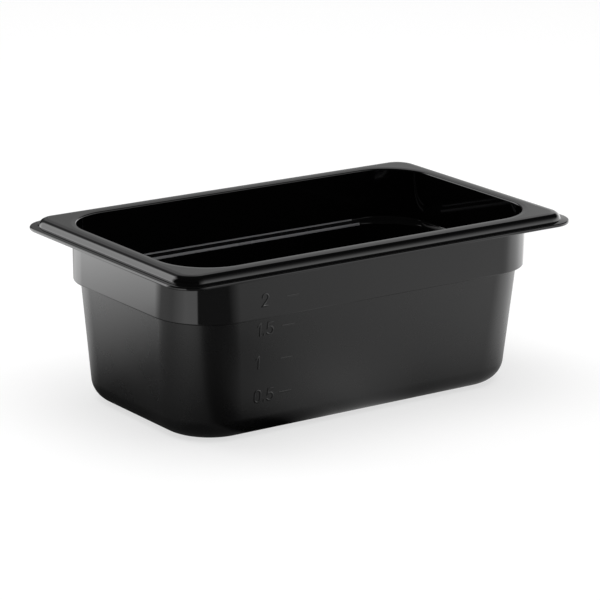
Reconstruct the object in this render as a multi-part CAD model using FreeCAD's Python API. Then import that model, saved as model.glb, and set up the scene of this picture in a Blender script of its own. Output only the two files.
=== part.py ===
import FreeCAD, Part
import math
import os

# Deli food pan: a quarter-size, nominal 4 inch deep, thin-walled serving pan, moulded in one piece.
# Units are mm. +Z is up, X runs along the long side, and the origin is the centre of the base.
# "inset" is a distance inward from the lip's outermost rectangle, the same on all four sides.

# Overall size
LENGTH = 265.0
WIDTH = 162.0
HEIGHT = 99.4

# Lip: the thin flange that goes all the way round and hangs on the edge of a well. Its top falls
# a little from the foot of the plateau's step to its own edge.
LIP_CORNER = 15.4
LIP_DROP = 3.8
LIP_FALL = 0.4
LIP_EDGE = 1.8
LIP_EDGE_ROUND = 0.75

# Raised plateau of the rim, inside the lip, cored out below to an even thickness. Its step leans
# in, and its top is crowned: a narrow level band with a slope on either side.
PLATEAU_INSET = 4.2
PLATEAU_CORNER = 12.0
PLATEAU_LEAN = 0.6
PLATEAU_ROUND = 4.0
CROWN_OUTER = 9.8
CROWN_INNER = 12.0
CROWN_SLOPE = 6.0
CROWN_ROUND = 13.0
RIM_WALL = 2.8

# Shoulder: the upper band of the wall, on which the next pan in a stack comes to rest
SHOULDER_INSET = 12.1
SHOULDER_CORNER = 32.5
SHOULDER_BOTTOM = 67.8
SHOULDER_TAPER = 0.4
SHOULDER_ROUND = 0.9

# Lower body: drafted walls down to a flat base with a large rounding
BODY_INSET = 15.8
BODY_CORNER = 31.0
BODY_TAPER = 4.6
BASE_CORNER = 31.0
BASE_ROUND = 13.0
BASE_THICK = 3.0

# Inside of the wall
WALL = 2.7
MOUTH_CORNER = 28.8
MOUTH_ROUND = 0.8
LEDGE_TOP = 70.4
LEDGE_DROP = 2.2
LEDGE_CONCAVE = 1.0
LEDGE_CONVEX = 1.8

# Raised capacity marks on the outside of one long wall: a numeral and a level dash for each volume
MARK_LITRES = ("0.5", "1", "1.5", "2")
MARK_X = -74.0
MARK_HEIGHT = 6.5
MARK_STROKE = 1.2
MARK_RELIEF = 0.3
MARK_ROOT = 0.8
DASH_X = -58.0
DASH_LENGTH = 7.0

SKIN = 0.01


def outline(inset, corner, z):
    """Closed rounded rectangle, held back from the lip's outermost rectangle by inset."""
    a = LENGTH / 2 - inset - corner
    b = WIDTH / 2 - inset - corner
    arcs = []
    for sx, sy, start in ((1, 1, 0), (-1, 1, 90), (-1, -1, 180), (1, -1, 270)):
        centre = FreeCAD.Vector(sx * a, sy * b, z)
        arcs.append(Part.makeCircle(corner, centre, FreeCAD.Vector(0, 0, 1), start, start + 90))
    edges = []
    for i, arc in enumerate(arcs):
        following = arcs[(i + 1) % 4]
        side = Part.makeLine(arc.valueAt(arc.LastParameter), following.valueAt(following.FirstParameter))
        edges.extend((arc, side))
    return Part.Wire(edges)


def block(low, high):
    """Solid between two outlines, each given as (inset, corner, z)."""
    return Part.makeLoft([outline(*low), outline(*high)], True, True)


def ring(shape, inset, corner, z):
    """The edges of a shape that lie along one outline."""
    guide = outline(inset, corner, z)
    found = []
    for edge in shape.Edges:
        middle = edge.valueAt((edge.FirstParameter + edge.LastParameter) / 2)
        flat = edge.BoundBox.ZLength < SKIN and abs(middle.z - z) < SKIN
        if flat and guide.distToShape(Part.Vertex(middle))[0] < SKIN:
            found.append(edge)
    return found


def rounded(shape, radius, inset, corner, z):
    """The shape with the edges along one outline rounded."""
    return shape.makeFillet(radius, ring(shape, inset, corner, z))


def body_inset(z):
    """Inset of the lower wall's outer face at a height."""
    return BODY_INSET + BODY_TAPER * (SHOULDER_BOTTOM - z) / SHOULDER_BOTTOM


def body_corner(z):
    """Corner radius of the lower wall's outer face at a height."""
    return BASE_CORNER + (BODY_CORNER - BASE_CORNER) * z / SHOULDER_BOTTOM


def shoulder_inset(z):
    """Inset of the shoulder's outer face at a height."""
    return SHOULDER_INSET + SHOULDER_TAPER * (HEIGHT - z) / (HEIGHT - SHOULDER_BOTTOM)


def crown_fall(run):
    """How far the plateau's top falls along a slope of that run."""
    return run * math.tan(math.radians(CROWN_SLOPE))


def make_outside():
    """Solid bounded by the outer faces of the base, the lower wall, the shoulder and the rim."""
    base = (body_inset(0), BASE_CORNER, 0)
    lower = block(base, (BODY_INSET, BODY_CORNER, SHOULDER_BOTTOM))
    lower = rounded(lower, BASE_ROUND, *base)

    foot = (shoulder_inset(SHOULDER_BOTTOM), SHOULDER_CORNER, SHOULDER_BOTTOM)
    shoulder = block(foot, (SHOULDER_INSET, SHOULDER_CORNER, HEIGHT - RIM_WALL / 2))
    shoulder = rounded(shoulder, SHOULDER_ROUND, *foot)

    crease = (PLATEAU_INSET, PLATEAU_CORNER, HEIGHT - LIP_DROP)
    lip_top = HEIGHT - LIP_DROP - LIP_FALL
    lip_bottom = lip_top - LIP_EDGE
    lip = block((0, LIP_CORNER, lip_bottom), (0, LIP_CORNER, lip_top))
    lip = lip.fuse(block((0, LIP_CORNER, lip_top), crease))
    for z in (lip_bottom, lip_top):
        lip = rounded(lip, LIP_EDGE_ROUND, 0, LIP_CORNER, z)

    brow_inset = PLATEAU_INSET + PLATEAU_LEAN
    brow = (brow_inset, PLATEAU_CORNER, HEIGHT - crown_fall(CROWN_OUTER - brow_inset))
    crown = (CROWN_OUTER, PLATEAU_CORNER - (CROWN_OUTER - PLATEAU_INSET), HEIGHT)
    plateau = block(crease, brow).fuse(block(brow, crown))
    plateau = rounded(plateau, PLATEAU_ROUND, *brow)
    plateau = rounded(plateau, CROWN_ROUND, *crown)

    under_inset = PLATEAU_INSET + RIM_WALL
    under_corner = PLATEAU_CORNER - RIM_WALL
    ceiling = (under_inset, under_corner, HEIGHT - RIM_WALL)
    recess = block((under_inset, under_corner, lip_bottom - 1), ceiling)
    recess = rounded(recess, RIM_WALL / 2, *ceiling)

    rim = plateau.fuse(lip).cut(recess)
    return lower.fuse(shoulder).fuse(rim).removeSplitter()


def mouth_line():
    """The mouth's edge, where the plateau's inner slope meets the inside of the wall."""
    inset = SHOULDER_INSET + WALL
    return inset, MOUTH_CORNER, HEIGHT - crown_fall(inset - CROWN_INNER)


def crown_line():
    """The inner edge of the plateau's level band."""
    return CROWN_INNER, MOUTH_CORNER + SHOULDER_INSET + WALL - CROWN_INNER, HEIGHT


def make_inside():
    """Solid that fills the inside of the pan, up to the mouth, and the solid above the mouth."""
    floor = (body_inset(BASE_THICK) + WALL, body_corner(BASE_THICK) - WALL, BASE_THICK)
    step = (BODY_INSET + WALL, BODY_CORNER - WALL, LEDGE_TOP - LEDGE_DROP)
    sill = (shoulder_inset(SHOULDER_BOTTOM) + WALL, MOUTH_CORNER, LEDGE_TOP)
    lower = block(floor, step)
    lower = rounded(lower, BASE_ROUND - BASE_THICK, *floor)
    inside = lower.fuse(block(step, sill)).fuse(block(sill, mouth_line()))
    inside = rounded(inside, LEDGE_CONCAVE, *sill)
    inside = rounded(inside, LEDGE_CONVEX, *step)

    crown = crown_line()
    above = block(mouth_line(), crown).fuse(block(crown, (crown[0], crown[1], HEIGHT + 5)))
    return inside, above


def filled_height(litres):
    """Height of the surface when the pan holds a volume, from the area of each thin layer."""
    step = 0.05
    z = BASE_THICK
    held = 0.0
    ledge = LEDGE_TOP - LEDGE_DROP / 2
    while held < litres * 1e6 and z < HEIGHT:
        z += step
        if z < ledge:
            inset = body_inset(z) + WALL
            corner = body_corner(z) - WALL
        else:
            inset = shoulder_inset(z) + WALL
            corner = MOUTH_CORNER
        rounding = BASE_ROUND - BASE_THICK
        if z < BASE_THICK + rounding:
            inset += rounding - math.sqrt(rounding ** 2 - (BASE_THICK + rounding - z) ** 2)
        area = (LENGTH - 2 * inset) * (WIDTH - 2 * inset) - (4 - math.pi) * corner ** 2
        held += area * step
    return z


def bar(start, end):
    """Outline of a straight stroke with round ends."""
    along = (end - start).normalize()
    across = FreeCAD.Vector(-along.y, along.x, 0) * (MARK_STROKE / 2)
    tip = along * (MARK_STROKE / 2)
    return Part.Wire([Part.makeLine(start - across, end - across),
                      Part.Arc(end - across, end + tip, end + across).toShape(),
                      Part.makeLine(end + across, start + across),
                      Part.Arc(start + across, start - tip, start - across).toShape()])


def stroke(points):
    """Flat face of one pen stroke. A point (u, v) is reached by a line, (u, v, p, q) by an arc."""
    edges = []
    first = FreeCAD.Vector(points[0][0], points[0][1], 0)
    last = first
    for point in points[1:]:
        here = FreeCAD.Vector(point[0], point[1], 0)
        if len(point) == 4:
            via = FreeCAD.Vector(point[2], point[3], 0)
            edges.append(Part.Arc(last, via, here).toShape())
        else:
            edges.append(Part.makeLine(last, here))
        last = here
    if len(edges) == 1:
        return Part.Face(bar(first, last))
    pen = Part.Wire(edges)
    if pen.isClosed():
        hole = Part.Face(pen.makeOffset2D(-MARK_STROKE / 2))
        return Part.Face(pen.makeOffset2D(MARK_STROKE / 2)).cut(hole).Faces[0]
    return Part.Face(pen.makeOffset2D(MARK_STROKE / 2))


# Pen strokes of the numerals in a cell one unit high. A point (u, v, p, q) is reached by an arc
# through (p, q).
NUMERALS = {
    "0": (((0.0, 0.7), (0.56, 0.7, 0.28, 1.0), (0.56, 0.3), (0.0, 0.3, 0.28, 0.0), (0.0, 0.7)),),
    "1": (((0.0, 0.78), (0.22, 1.0), (0.22, 0.0)),),
    "2": (((0.0, 0.72), (0.5, 0.56, 0.3, 1.0), (0.0, 0.0), (0.56, 0.0)),),
    "5": (((0.52, 1.0), (0.06, 1.0), (0.02, 0.56), (0.0, 0.1, 0.56, 0.3)),),
    ".": (((0.0, 0.0), (0.0, 0.06)),),
}
ADVANCE = {"0": 0.92, "1": 0.58, "2": 0.92, "5": 0.92, ".": 0.34}


def make_mark(text):
    """Raised numeral and level dash, standing on the outside of the wall at the level they mark."""
    z = filled_height(float(text))
    if z > SHOULDER_BOTTOM:
        inset = shoulder_inset(z)
        run = SHOULDER_TAPER
        rise = HEIGHT - SHOULDER_BOTTOM
    else:
        inset = body_inset(z)
        run = BODY_TAPER
        rise = SHOULDER_BOTTOM
    faces = []
    u = 0.0
    for sign in text:
        for pen in NUMERALS[sign]:
            scaled = []
            for point in pen:
                shifted = [value * MARK_HEIGHT for value in point]
                for k in range(0, len(point), 2):
                    shifted[k] += u * MARK_HEIGHT
                    shifted[k + 1] -= MARK_HEIGHT / 2
                scaled.append(shifted)
            faces.append(stroke(scaled))
        u += ADVANCE[sign]
    dash = DASH_X - MARK_X
    faces.append(stroke(((dash, 0.0), (dash + DASH_LENGTH, 0.0))))

    lean = math.degrees(math.atan2(run, rise))
    place = FreeCAD.Placement(FreeCAD.Vector(MARK_X, inset - WIDTH / 2, z),
                              FreeCAD.Rotation(FreeCAD.Vector(1, 0, 0), 90 + lean))
    solids = []
    for face in faces:
        face.translate(FreeCAD.Vector(0, 0, -MARK_ROOT))
        solid = face.extrude(FreeCAD.Vector(0, 0, MARK_ROOT + MARK_RELIEF))
        solid.Placement = place.multiply(solid.Placement)
        solids.append(solid)
    return solids


def make_pan():
    """The whole moulding."""
    inside, above = make_inside()
    pan = make_outside().cut(inside).cut(above)
    pan = rounded(pan, MOUTH_ROUND, *mouth_line())
    pan = rounded(pan, CROWN_ROUND, *crown_line())
    for litres in MARK_LITRES:
        pan = pan.fuse(make_mark(litres))
    return pan


os.makedirs("parts", exist_ok=True)
nodes = {"pan": make_pan()}
for name, shape in nodes.items():
    shape.exportStep("parts/%s.step" % name)
    print(name, shape.ShapeType, len(shape.Solids), shape.isValid(), round(shape.Volume))
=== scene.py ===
import math

import bpy
from mathutils import Matrix, Vector


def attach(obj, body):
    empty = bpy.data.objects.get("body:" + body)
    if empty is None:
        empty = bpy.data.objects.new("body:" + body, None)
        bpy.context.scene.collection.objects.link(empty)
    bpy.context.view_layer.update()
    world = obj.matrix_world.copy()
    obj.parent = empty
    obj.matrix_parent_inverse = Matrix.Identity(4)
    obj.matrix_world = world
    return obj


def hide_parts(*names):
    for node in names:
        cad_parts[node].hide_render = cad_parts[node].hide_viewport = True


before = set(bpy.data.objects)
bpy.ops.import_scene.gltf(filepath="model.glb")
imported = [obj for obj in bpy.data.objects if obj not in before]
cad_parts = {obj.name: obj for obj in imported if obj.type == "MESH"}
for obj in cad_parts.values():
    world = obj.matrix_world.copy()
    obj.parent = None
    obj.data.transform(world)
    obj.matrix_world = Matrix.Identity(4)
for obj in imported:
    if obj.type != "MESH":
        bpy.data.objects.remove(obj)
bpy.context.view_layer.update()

MM = 0.001

# Sizes in mm, the same as the CAD part's
LENGTH, WIDTH, HEIGHT = 265.0, 162.0, 99.4
SHOULDER_BOTTOM = 67.8
BODY_INSET, BODY_TAPER = 15.8, 4.6
BODY_CORNER, BASE_CORNER = 31.0, 31.0
SHOULDER_INSET, SHOULDER_TAPER, SHOULDER_CORNER = 12.1, 0.4, 32.5
SHOULDER_ROUND = 0.9
PLATEAU_INSET, PLATEAU_CORNER, PLATEAU_LEAN, PLATEAU_ROUND = 4.2, 12.0, 0.6, 4.0
CROWN_OUTER, CROWN_INNER, CROWN_SLOPE, CROWN_ROUND = 9.8, 12.0, 6.0, 13.0
RIM_WALL = 2.8
LIP_CORNER, LIP_DROP, LIP_FALL, LIP_EDGE, LIP_EDGE_ROUND = 15.4, 3.8, 0.4, 1.8, 0.75
MOUTH_CORNER, MOUTH_ROUND = 28.8, 0.8
LEDGE_TOP, LEDGE_DROP, LEDGE_CONCAVE, LEDGE_CONVEX = 70.4, 2.2, 1.0, 1.8
WALL = 2.7
MARK_LITRES = ("0.5", "1", "1.5", "2")
MARK_X, MARK_HEIGHT, MARK_STROKE, MARK_RELIEF = -74.0, 6.5, 1.2, 0.3
DASH_X, DASH_LENGTH = -58.0, 7.0
PAINTED_GLINT_END = 45.0  # the ledge's painted highlight lines stop this far from the ends of the pan
BASE_THICK, BASE_ROUND = 3.0, 13.0


def body_inset(z):
    return BODY_INSET + BODY_TAPER * (SHOULDER_BOTTOM - z) / SHOULDER_BOTTOM


def body_corner(z):
    return BASE_CORNER + (BODY_CORNER - BASE_CORNER) * z / SHOULDER_BOTTOM


def shoulder_inset(z):
    return SHOULDER_INSET + SHOULDER_TAPER * (HEIGHT - z) / (HEIGHT - SHOULDER_BOTTOM)


def crown_fall(run):
    return run * math.tan(math.radians(CROWN_SLOPE))


# ---------------------------------------------------------------- the moulding's section

class Section:
    """Closed section of the wall: stations (inset, corner radius, z) in mm, each with its direction."""

    def __init__(self, inset, corner, z):
        self.stations = [(inset, corner, z)]
        self.headings = [(-1.0, 1.0, 0.0)]
        self.satin = []
        # spans of stations that carry the painted highlight on the ledge's edges
        self.painted_glint = []

    def go(self, inset, corner, z, steps=1):
        """Straight run to a station, in equal steps."""
        i0, c0, z0 = self.stations[-1]
        for k in range(1, steps + 1):
            t = k / steps
            self.stations.append((i0 + (inset - i0) * t, c0 + (corner - c0) * t, z0 + (z - z0) * t))
            self.headings.append((inset - i0, corner - c0, z - z0))

    def turn(self, radius, inset, corner, z, towards, steps=8):
        """Rounding of a sharp point of the section, from the last station towards the next one."""
        i0, _, z0 = self.stations[-1]
        here = Vector((inset, z))
        back = (Vector((i0, z0)) - here).normalized()
        on = (Vector((towards[0], towards[1])) - here).normalized()
        half = back.angle(on) / 2
        reach = radius / math.tan(half)
        centre = here + (back + on).normalized() * (radius / math.sin(half))
        a, b = here + back * reach - centre, here + on * reach - centre
        sweep = a.angle(b)
        for k in range(steps + 1):
            t = k / steps
            out = (a * math.sin((1 - t) * sweep) + b * math.sin(t * sweep)) / math.sin(sweep)
            ahead = (b * math.cos(t * sweep) - a * math.cos((1 - t) * sweep)).normalized()
            p = centre + out
            # a rounding that goes inward keeps the corner's centre, so its radius shrinks as much
            self.stations.append((p.x, corner - (p.x - inset), p.y))
            self.headings.append((ahead.x, -ahead.x, ahead.y))


def pan_section():
    """Outside of the base, up the walls, over the rim and down the inside to the floor."""
    s = Section(60.0, 6.0, 0.0)
    s.go(36.0, 14.5, 0.0, 6)
    s.turn(BASE_ROUND, body_inset(0), BASE_CORNER, 0.0, (BODY_INSET, SHOULDER_BOTTOM), 16)
    top = SHOULDER_BOTTOM - 0.8
    s.go(body_inset(top), body_corner(top), top, 14)
    foot_i = shoulder_inset(SHOULDER_BOTTOM)
    s.turn(0.4, BODY_INSET, BODY_CORNER, SHOULDER_BOTTOM, (foot_i, SHOULDER_BOTTOM), 4)
    s.satin = [0, len(s.stations) - 1]
    s.turn(SHOULDER_ROUND, foot_i, SHOULDER_CORNER, SHOULDER_BOTTOM, (SHOULDER_INSET, HEIGHT), 6)
    s.go(shoulder_inset(HEIGHT - 4.2), SHOULDER_CORNER, HEIGHT - 4.2, 6)

    # under the rim: the cored recess, then the lip
    roof = HEIGHT - RIM_WALL
    under_i, under_c = PLATEAU_INSET + RIM_WALL, PLATEAU_CORNER - RIM_WALL
    crease = HEIGHT - LIP_DROP
    lip_top = crease - LIP_FALL
    lip_low = lip_top - LIP_EDGE
    s.turn(0.6, shoulder_inset(roof), SHOULDER_CORNER, roof, (under_i, roof), 4)
    s.go(10.2, 20.0, roof)
    s.turn(RIM_WALL / 2, under_i, under_c, roof, (under_i, lip_low), 6)
    s.turn(0.2, under_i, under_c, lip_low, (0.0, lip_low), 3)
    s.go(1.5, LIP_CORNER - 1.5, lip_low)
    s.turn(LIP_EDGE_ROUND, 0.0, LIP_CORNER, lip_low, (0.0, lip_top), 8)
    s.turn(LIP_EDGE_ROUND, 0.0, LIP_CORNER, lip_top, (PLATEAU_INSET, crease), 8)

    # the step up to the plateau, its crowned top, and the mouth
    brow_i = PLATEAU_INSET + PLATEAU_LEAN
    brow = HEIGHT - crown_fall(CROWN_OUTER - brow_i)
    mouth_i = SHOULDER_INSET + WALL
    mouth = HEIGHT - crown_fall(mouth_i - CROWN_INNER)
    s.turn(0.12, PLATEAU_INSET, PLATEAU_CORNER, crease, (brow_i, brow), 4)
    s.turn(PLATEAU_ROUND, brow_i, PLATEAU_CORNER, brow, (CROWN_OUTER, HEIGHT), 18)
    outer_c = PLATEAU_CORNER - (CROWN_OUTER - PLATEAU_INSET)
    inner_c = MOUTH_CORNER + (mouth_i - CROWN_INNER)
    s.turn(CROWN_ROUND, CROWN_OUTER, outer_c, HEIGHT, (CROWN_INNER, HEIGHT), 6)
    s.turn(CROWN_ROUND, CROWN_INNER, inner_c, HEIGHT, (mouth_i, mouth), 6)
    sill_i = shoulder_inset(SHOULDER_BOTTOM) + WALL
    s.turn(MOUTH_ROUND, mouth_i, MOUTH_CORNER, mouth, (sill_i, LEDGE_TOP), 8)

    # inside: down to the sloping ledge, over it and down to the floor
    step = LEDGE_TOP - LEDGE_DROP
    s.go(sill_i, MOUTH_CORNER, LEDGE_TOP + 2.0, 6)
    # the ledge's two roundings get the paler colour, a painted highlight
    s.painted_glint.append(len(s.stations))
    s.turn(LEDGE_CONCAVE, sill_i, MOUTH_CORNER, LEDGE_TOP, (BODY_INSET + WALL, step), 6)
    s.painted_glint.append(len(s.stations) - 1)
    floor_i, floor_c = body_inset(BASE_THICK) + WALL, body_corner(BASE_THICK) - WALL
    s.painted_glint.append(len(s.stations))
    s.turn(LEDGE_CONVEX, BODY_INSET + WALL, BODY_CORNER - WALL, step, (floor_i, BASE_THICK), 10)
    s.painted_glint.append(len(s.stations) - 1)
    s.go(body_inset(16.0) + WALL, body_corner(16.0) - WALL, 16.0, 10)
    s.turn(BASE_ROUND - BASE_THICK, floor_i, floor_c, BASE_THICK, (60.0, BASE_THICK), 12)
    s.go(60.0, 6.0, BASE_THICK, 4)
    return s


CORNER_STEPS = 32
LONG_STEPS = 36
SHORT_STEPS = 22


def loop_points(station, heading):
    """Points in m and their normals round a rounded rectangle. Every station has the same count."""
    inset, corner, z = station
    a = LENGTH / 2 - inset - corner
    b = WIDTH / 2 - inset - corner
    grow_i, grow_c, rise = heading
    points, normals = [], []

    def add(x, y, angle):
        across, aside = math.cos(angle), math.sin(angle)
        outward = grow_c - (grow_i + grow_c) * (abs(across) + abs(aside))
        normal = Vector((rise * across, rise * aside, -outward)).normalized()
        points.append((x * MM, y * MM, z * MM))
        normals.append(normal)

    sides = ((1, 1, 0, LONG_STEPS), (-1, 1, 90, SHORT_STEPS),
             (-1, -1, 180, LONG_STEPS), (1, -1, 270, SHORT_STEPS))
    for i, (sx, sy, start, steps) in enumerate(sides):
        for k in range(CORNER_STEPS + 1):
            angle = math.radians(start + 90 * k / CORNER_STEPS)
            add(sx * a + corner * math.cos(angle), sy * b + corner * math.sin(angle), angle)
        nx, ny = sides[(i + 1) % 4][:2]
        for k in range(1, steps):
            t = k / steps
            add((sx + (nx - sx) * t) * a + corner * math.cos(angle),
                (sy + (ny - sy) * t) * b + corner * math.sin(angle), angle)
    return points, normals


# Pen strokes of the numerals in a cell one unit high. A point (u, v, p, q) is reached by an arc
# through (p, q).
NUMERALS = {
    "0": (((0.0, 0.7), (0.56, 0.7, 0.28, 1.0), (0.56, 0.3), (0.0, 0.3, 0.28, 0.0), (0.0, 0.7)),),
    "1": (((0.0, 0.78), (0.22, 1.0), (0.22, 0.0)),),
    "2": (((0.0, 0.72), (0.5, 0.56, 0.3, 1.0), (0.0, 0.0), (0.56, 0.0)),),
    "5": (((0.52, 1.0), (0.06, 1.0), (0.02, 0.56), (0.0, 0.1, 0.56, 0.3)),),
    ".": (((0.0, 0.0), (0.0, 0.06)),),
}
ADVANCE = {"0": 0.92, "1": 0.58, "2": 0.92, "5": 0.92, ".": 0.34}


def filled_height(litres):
    """Height of the surface when the pan holds a volume, from the area of each thin layer."""
    step, z, held = 0.05, BASE_THICK, 0.0
    ledge = LEDGE_TOP - LEDGE_DROP / 2
    while held < litres * 1e6 and z < HEIGHT:
        z += step
        if z < ledge:
            inset, corner = body_inset(z) + WALL, body_corner(z) - WALL
        else:
            inset, corner = shoulder_inset(z) + WALL, MOUTH_CORNER
        rounding = BASE_ROUND - BASE_THICK
        if z < BASE_THICK + rounding:
            inset += rounding - math.sqrt(rounding ** 2 - (BASE_THICK + rounding - z) ** 2)
        held += ((LENGTH - 2 * inset) * (WIDTH - 2 * inset) - (4 - math.pi) * corner ** 2) * step
    return z


def arc_points(start, via, end, steps=14):
    """Points after the first along the arc from start to end through via."""
    ax, ay = via.x - start.x, via.y - start.y
    bx, by = end.x - start.x, end.y - start.y
    d = 2 * (ax * by - ay * bx)
    cx = (by * (ax * ax + ay * ay) - ay * (bx * bx + by * by)) / d
    cy = (ax * (bx * bx + by * by) - bx * (ax * ax + ay * ay)) / d
    centre = start + Vector((cx, cy))
    first, middle, last = [math.atan2(p.y - centre.y, p.x - centre.x) for p in (start, via, end)]
    sweep = (last - first) % (2 * math.pi)
    if (middle - first) % (2 * math.pi) > sweep:
        sweep -= 2 * math.pi
    radius = (start - centre).length
    angles = [first + sweep * k / steps for k in range(1, steps + 1)]
    return [centre + Vector((math.cos(t), math.sin(t))) * radius for t in angles]


def stroke_path(points, size):
    """A pen stroke as a list of points in mm."""
    path = [Vector(points[0]) * size]
    for point in points[1:]:
        here = Vector(point[:2]) * size
        if len(point) == 4:
            path.extend(arc_points(path[-1], Vector(point[2:]) * size, here))
        else:
            path.append(here)
    return path


def add_ridge(path, place, sink):
    """A rounded ridge along a path. place turns (u, v, proud) into a point and sink takes the mesh."""
    verts, normals, faces = sink
    closed = (path[0] - path[-1]).length < 1e-6
    if closed:
        path = path[:-1]
    half = MARK_STROKE / 2
    rows = []
    for k, p in enumerate(path):
        ahead = path[(k + 1) % len(path)] - p if closed or k + 1 < len(path) else p - path[k - 1]
        before = p - path[k - 1] if closed or k > 0 else ahead
        along = (ahead.normalized() + before.normalized()).normalized()
        widen = 1 / max(along.dot(ahead.normalized()), 0.5)
        rows.append((p, along, 1.0, widen))
    if not closed:
        tip, tail = rows[0], rows[-1]
        ends = [(math.sin(math.radians(a)), math.cos(math.radians(a))) for a in (30, 60, 85)]
        rows = ([(tip[0] - tip[1] * half * s, tip[1], c, 1.0) for s, c in reversed(ends)] + rows
                + [(tail[0] + tail[1] * half * s, tail[1], c, 1.0) for s, c in ends])
    profile = ((-1.0, -0.1), (-0.82, 0.17), (-0.45, 0.27), (0.0, 0.3),
               (0.45, 0.27), (0.82, 0.17), (1.0, -0.1))
    first = len(verts)
    for p, along, scale, widen in rows:
        across = Vector((-along.y, along.x))
        for w, proud in profile:
            q = p + across * (w * half * scale * widen)
            height = proud * MARK_RELIEF / 0.3 * (0.35 + 0.65 * scale)
            verts.append(place(q.x, q.y, height)[0])
            lean = across * (w * abs(w) * 0.9)
            normals.append(place(lean.x, lean.y, 1.0)[1])
    n = len(profile)
    count = len(rows)
    for r in range(count if closed else count - 1):
        for k in range(n - 1):
            a, b = first + r * n + k, first + (r + 1) % count * n + k
            faces.append((a, b, b + 1, a + 1))


def add_marks(verts, normals, faces, slots):
    """Raised capacity marks on one long wall: a numeral and a level dash for each volume."""
    for text in MARK_LITRES:
        z = filled_height(float(text))
        upper = z > SHOULDER_BOTTOM
        inset = shoulder_inset(z) if upper else body_inset(z)
        run = SHOULDER_TAPER if upper else BODY_TAPER
        rise = HEIGHT - SHOULDER_BOTTOM if upper else SHOULDER_BOTTOM
        lean = math.atan2(run, rise)
        upward = Vector((0, -math.sin(lean), math.cos(lean)))
        outward = Vector((0, -math.cos(lean), -math.sin(lean)))
        origin = Vector((MARK_X, inset - WIDTH / 2, z))

        def place(u, v, proud):
            side = Vector((1, 0, 0)) * u + upward * v
            point = origin + side + outward * proud
            return tuple(point * MM), (side + outward).normalized()

        pens = []
        u = 0.0
        for sign in text:
            for pen in NUMERALS[sign]:
                shift = Vector((u * MARK_HEIGHT, -MARK_HEIGHT / 2))
                pens.append([p + shift for p in stroke_path(pen, MARK_HEIGHT)])
            u += ADVANCE[sign]
        dash = DASH_X - MARK_X
        pens.append([Vector((dash, 0)), Vector((dash + DASH_LENGTH, 0))])
        before = len(faces)
        for pen in pens:
            add_ridge(pen, place, (verts, normals, faces))
        slots.extend([0 if upper else 1] * (len(faces) - before))


def make_pan(gloss, satin, painted_glint):
    """The whole moulding as one closed skin, with true normals for clean reflections."""
    section = pan_section()
    verts, normals, faces, slots = [], [], [], []
    for station, heading in zip(section.stations, section.headings):
        points, turned = loop_points(station, heading)
        verts.extend(points)
        normals.extend(turned)
    rows = len(section.stations)
    n = len(verts) // rows
    zones = [0] * rows
    zones[section.satin[0]:section.satin[1]] = [1] * (section.satin[1] - section.satin[0])
    # zone 2 is the painted highlight on the ledge's edges
    for first, last in zip(section.painted_glint[::2], section.painted_glint[1::2]):
        zones[first:last] = [2] * (last - first)
    for r in range(rows - 1):
        for k in range(n):
            j = (k + 1) % n
            faces.append((r * n + k, r * n + j, (r + 1) * n + j, (r + 1) * n + k))
            # the painted highlight on the ledge is left off near the ends of the pan
            near_end = abs(verts[r * n + k][0]) > (LENGTH / 2 - PAINTED_GLINT_END) * MM
            slots.append(0 if zones[r] == 2 and near_end else zones[r])
    faces.append(tuple(reversed(range(n))))
    faces.append(tuple((rows - 1) * n + k for k in range(n)))
    slots.extend((1, 0))
    add_marks(verts, normals, faces, slots)
    mesh = bpy.data.meshes.new("pan")
    mesh.from_pydata(verts, [], faces)
    mesh.polygons.foreach_set("use_smooth", [True] * len(mesh.polygons))
    mesh.polygons.foreach_set("material_index", slots)
    for material in (gloss, satin, painted_glint):
        mesh.materials.append(material)
    mesh.update()
    mesh.normals_split_custom_set_from_vertices(normals)
    pan = bpy.data.objects.new("pan_moulding", mesh)
    bpy.context.scene.collection.objects.link(pan)
    return pan


# ---------------------------------------------------------------- material

def black_plastic(name, roughness, spread, grain, waves, shade=0.0018):
    """Moulded black polycarbonate, with the faint unevenness of the mould in its polish and surface."""
    material = bpy.data.materials.new(name)
    material.use_nodes = True
    nodes, links = material.node_tree.nodes, material.node_tree.links
    nodes.clear()
    out = nodes.new("ShaderNodeOutputMaterial")
    shader = nodes.new("ShaderNodeBsdfPrincipled")
    links.new(shader.outputs["BSDF"], out.inputs["Surface"])
    shader.inputs["IOR"].default_value = 1.58
    shader.inputs["Base Color"].default_value = (shade, shade, shade * 1.05, 1)
    place = nodes.new("ShaderNodeTexCoord")

    def noise(scale, detail, stretch=(1, 1, 1)):
        mapping = nodes.new("ShaderNodeMapping")
        mapping.inputs["Scale"].default_value = stretch
        links.new(place.outputs["Object"], mapping.inputs["Vector"])
        node = nodes.new("ShaderNodeTexNoise")
        node.inputs["Scale"].default_value = scale
        node.inputs["Detail"].default_value = detail
        links.new(mapping.outputs["Vector"], node.inputs["Vector"])
        return node.outputs["Fac"]

    def remap(value, low, high):
        node = nodes.new("ShaderNodeMapRange")
        node.inputs["From Min"].default_value = 0.3
        node.inputs["From Max"].default_value = 0.7
        node.inputs["To Min"].default_value = low
        node.inputs["To Max"].default_value = high
        links.new(value, node.inputs["Value"])
        return node.outputs["Result"]

    links.new(remap(noise(45, 4), roughness - spread, roughness + spread), shader.inputs["Roughness"])
    wave = nodes.new("ShaderNodeBump")
    wave.inputs["Distance"].default_value = 0.00002
    wave.inputs["Strength"].default_value = waves
    links.new(noise(28, 2), wave.inputs["Height"])
    fine = nodes.new("ShaderNodeBump")
    fine.inputs["Distance"].default_value = grain
    fine.inputs["Strength"].default_value = 1.0
    links.new(noise(2600, 2), fine.inputs["Height"])
    links.new(wave.outputs["Normal"], fine.inputs["Normal"])
    links.new(fine.outputs["Normal"], shader.inputs["Normal"])
    return material


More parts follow.
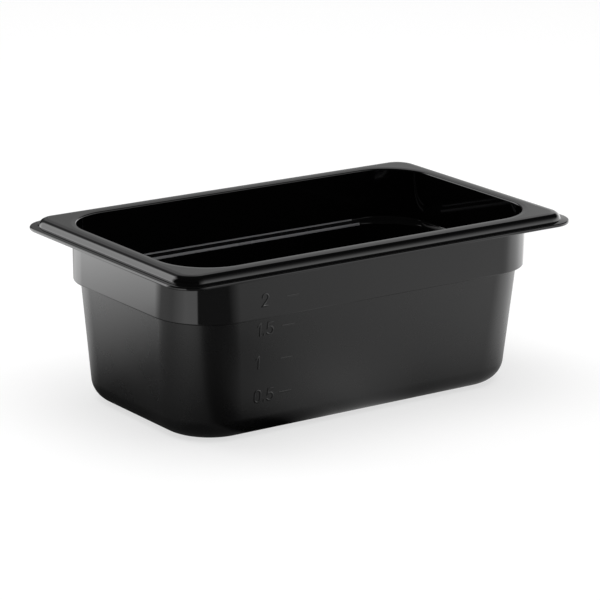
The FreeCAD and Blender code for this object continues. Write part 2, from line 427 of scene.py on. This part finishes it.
gloss = black_plastic("black_gloss", 0.055, 0.015, 0.0000006, 0.5)
satin = black_plastic("black_satin", 0.28, 0.03, 0.000004, 0.2)
# the edges of the ledge, paler so that they show as lines along the long sides: a painted highlight in
# place of the glints along the ledge
painted_glint = black_plastic("black_painted_glint", 0.3, 0.05, 0.000004, 0.2, 0.12)

pan = make_pan(gloss, satin, painted_glint)
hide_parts("pan")
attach(pan, "root")

# ---------------------------------------------------------------- camera, floor and light

YAW, PITCH, ROLL = math.radians(-35.8), math.radians(16.0), math.radians(0.8)
DISTANCE, LENS = 1.76, 190
back = Vector((math.sin(YAW) * math.cos(PITCH), -math.cos(YAW) * math.cos(PITCH), math.sin(PITCH)))
right = Vector((math.cos(YAW), math.sin(YAW), 0))
up = back.cross(right)
right_r = right * math.cos(ROLL) + up * math.sin(ROLL)
up_r = -right * math.sin(ROLL) + up * math.cos(ROLL)
eye = Vector((0, 0, 0.05)) + back * DISTANCE - right_r * 0.0003 + up_r * 0.0004
camera_data = bpy.data.cameras.new("camera")
camera_data.sensor_width = 36
camera_data.lens = LENS
camera = bpy.data.objects.new("camera", camera_data)
camera.matrix_world = Matrix((right_r, up_r, back)).transposed().to_4x4()
camera.location = eye
bpy.context.scene.collection.objects.link(camera)
bpy.context.scene.camera = camera

floor_mesh = bpy.data.meshes.new("floor")
floor_mesh.from_pydata([(-3, -3, 0), (3, -3, 0), (3, 3, 0), (-3, 3, 0)], [], [(0, 1, 2, 3)])
floor = bpy.data.objects.new("floor", floor_mesh)
bpy.context.scene.collection.objects.link(floor)
floor_material = bpy.data.materials.new("floor")
floor_material.use_nodes = True
floor_shader = floor_material.node_tree.nodes["Principled BSDF"]
floor_shader.inputs["Base Color"].default_value = (0.35, 0.35, 0.35, 1)
floor_shader.inputs["Roughness"].default_value = 1.0
floor_shader.inputs["Emission Color"].default_value = (1, 1, 1, 1)
floor_shader.inputs["Emission Strength"].default_value = 0.66
floor_mesh.materials.append(floor_material)

# The studio is a ring of soft panels set by direction. Azimuth 0 is towards -X and 90 towards -Y.
# Each panel is (azimuth of its middle, strength, stops across it, stops up it), and a stop is
# (degrees from the middle, or of elevation, and the share of the strength there).
PANELS = (
    # tall softbox, back left
    (-65, 3.0,
     ((-25, 0.0), (-10, 1.0), (10, 1.0), (30, 0.0)),
     ((-30, 0.4), (-15, 1.0), (35, 1.0), (50, 0.0))),
    # low strip, left
    (10, 1.2,
     ((-60, 0.4), (-30, 0.3), (-10, 0.9), (30, 1.0), (32, 0.0)),
     ((-30, 1.0), (-5, 1.0), (0, 0.0))),
    # wide soft wall, right
    (125, 2.2,
     ((-35, 0.0), (-15, 0.5), (15, 1.0), (50, 0.0)),
     ((-30, 0.3), (0, 1.0), (10, 1.0), (40, 0.1), (60, 0.0))),
    # low soft wall, far right
    (170, 2.6,
     ((-30, 0.0), (0, 0.8), (40, 1.0), (60, 0.0)),
     ((-30, 0.8), (-15, 1.0), (10, 1.0), (25, 0.0))),
    # small soft patch behind, over the rim
    (-130, 0.6,
     ((-15, 0.0), (-5, 1.0), (5, 0.8), (20, 0.0)),
     ((-10, 0.5), (5, 1.0), (25, 1.0), (35, 0.0))),
    # weak glow high at the back
    (-100, 0.15,
     ((-25, 0.0), (-15, 1.0), (20, 1.0), (30, 0.0)),
     ((10, 0.0), (20, 1.0), (40, 1.0), (45, 0.0))),
)
AMBIENT = ((-90, 0.1), (-5, 0.1), (10, 0.02), (90, 0.02))

# What the table mirrors back into the plastic: pools of light round the pan, dark close to it.
# Each is (azimuth of its middle, strength, stops across it in degrees, stops outwards in mm).
POOLS = (
    # from the softbox
    (-45, 3.0,
     ((-45, 0.0), (-20, 0.6), (-5, 1.0), (10, 0.8), (25, 0.1), (60, 0.0)),
     ((0, 0.05), (150, 0.4), (300, 1.0), (600, 1.0))),
    # from the low strip
    (10, 1.2,
     ((-50, 0.2), (-10, 0.4), (10, 1.0), (25, 1.0), (27, 0.0)),
     ((0, 0.05), (100, 0.3), (200, 1.0), (600, 1.0))),
    # from the front
    (75, 0.45,
     ((-25, 0.0), (0, 1.0), (20, 1.0), (50, 0.0)),
     ((0, 0.8), (40, 1.0), (100, 0.0))),
    # from the walls on the right
    (130, 1.0,
     ((-50, 0.0), (-30, 0.45), (0, 0.7), (20, 1.0), (50, 0.0)),
     ((0, 0.3), (50, 0.8), (150, 1.0), (600, 1.0))),
    (175, 1.9,
     ((-35, 0.0), (0, 1.0), (30, 0.6), (70, 0.0)),
     ((0, 0.05), (100, 0.5), (300, 1.0), (600, 1.0))),
)
FOOT_LENGTH, FOOT_WIDTH = 224.0, 120.0  # mm, the pan's footprint, which the pools start from
POOL_AMBIENT = ((0, 0.0), (50, 0.05), (100, 0.1), (600, 0.1))


class Wiring:
    """Short names for the nodes of one node tree."""

    def __init__(self, tree):
        self.nodes, self.links = tree.nodes, tree.links
        self.nodes.clear()

    def math(self, kind, one, other=None):
        node = self.nodes.new("ShaderNodeMath")
        node.operation = kind
        for socket, value in zip(node.inputs, (one, other)):
            if isinstance(value, (int, float)):
                socket.default_value = value
            elif value is not None:
                self.links.new(value, socket)
        return node.outputs[0]

    def dot(self, vector, direction):
        node = self.nodes.new("ShaderNodeVectorMath")
        node.operation = "DOT_PRODUCT"
        node.inputs[1].default_value = direction
        self.links.new(vector, node.inputs[0])
        return node.outputs["Value"]

    def turned(self, vector, middle):
        """Azimuth from a middle, in degrees."""
        m = math.radians(middle)
        ahead = self.dot(vector, (-math.cos(m), -math.sin(m), 0))
        aside = self.dot(vector, (math.sin(m), -math.cos(m), 0))
        return self.math("DEGREES", self.math("ARCTAN2", aside, ahead))

    def profile(self, value, stops):
        """Strength along a value, straight between the stops."""
        low, high = stops[0][0], stops[-1][0]
        ramp = self.nodes.new("ShaderNodeValToRGB")
        share = self.math("DIVIDE", self.math("SUBTRACT", value, low), high - low)
        self.links.new(share, ramp.inputs[0])
        keys = ramp.color_ramp.elements
        while len(keys) < len(stops):
            keys.new(0.5)
        for key, (at, _) in zip(keys, stops):
            key.position = (at - low) / (high - low)
        for key, (_, strength) in zip(keys, stops):
            key.color = (strength, strength, strength, 1)
        return ramp.outputs["Color"]

    def sum_of(self, first, vector, other, parts):
        """A first strength and the panels or pools on top of it."""
        total = first
        for middle, strength, across, along in parts:
            part = self.math("MULTIPLY", self.profile(self.turned(vector, middle), across),
                             self.profile(other, along))
            total = self.math("ADD", total, self.math("MULTIPLY", part, strength))
        return total


def studio():
    """World light made of the panels."""
    world = bpy.data.worlds.new("studio")
    bpy.context.scene.world = world
    world.use_nodes = True
    w = Wiring(world.node_tree)
    place = w.nodes.new("ShaderNodeTexCoord").outputs["Generated"]
    elevation = w.math("DEGREES", w.math("ARCSINE", w.dot(place, (0, 0, 1))))
    light = w.nodes.new("ShaderNodeBackground")
    strength = w.sum_of(w.profile(elevation, AMBIENT), place, elevation, PANELS)
    w.links.new(strength, light.inputs["Strength"])
    out = w.nodes.new("ShaderNodeOutputWorld")
    w.links.new(light.outputs[0], out.inputs["Surface"])


def table_glow():
    """A sheet at floor level that only mirror rays meet, carrying the pools of light."""
    mesh = bpy.data.meshes.new("table_glow")
    r = 0.7
    mesh.from_pydata([(-r, -r, 0), (r, -r, 0), (r, r, 0), (-r, r, 0)], [], [(0, 1, 2, 3)])
    sheet = bpy.data.objects.new("table_glow", mesh)
    sheet.location = (0, 0, -0.0004)
    bpy.context.scene.collection.objects.link(sheet)
    sheet.visible_camera = False
    sheet.visible_diffuse = False
    sheet.visible_transmission = False
    sheet.visible_shadow = False
    material = bpy.data.materials.new("table_glow")
    material.use_nodes = True
    mesh.materials.append(material)
    w = Wiring(material.node_tree)
    place = w.nodes.new("ShaderNodeTexCoord").outputs["Object"]
    beyond = []
    for axis, half in (((1, 0, 0), FOOT_LENGTH / 2 * MM), ((0, 1, 0), FOOT_WIDTH / 2 * MM)):
        past = w.math("SUBTRACT", w.math("ABSOLUTE", w.dot(place, axis)), half)
        beyond.append(w.math("MAXIMUM", past, 0.0))
    squares = [w.math("MULTIPLY", b, b) for b in beyond]
    away = w.math("MULTIPLY", w.math("SQRT", w.math("ADD", squares[0], squares[1])), 1000.0)
    glow = w.nodes.new("ShaderNodeEmission")
    strength = w.sum_of(w.profile(away, POOL_AMBIENT), place, away, POOLS)
    w.links.new(strength, glow.inputs["Strength"])
    out = w.nodes.new("ShaderNodeOutputMaterial")
    w.links.new(glow.outputs[0], out.inputs["Surface"])


table_glow()
studio()

# Overhead fill for the floor. The black plastic doesn't mirror it, or the floor itself.
fill_data = bpy.data.lights.new("overhead", "AREA")
fill_data.shape = "DISK"
fill_data.size = 3.0
fill_data.energy = 62
fill = bpy.data.objects.new("overhead", fill_data)
fill.location = (0, 0, 2.2)
bpy.context.scene.collection.objects.link(fill)
fill.visible_glossy = False
floor.visible_glossy = False

bpy.context.scene.view_settings.view_transform = "Standard"
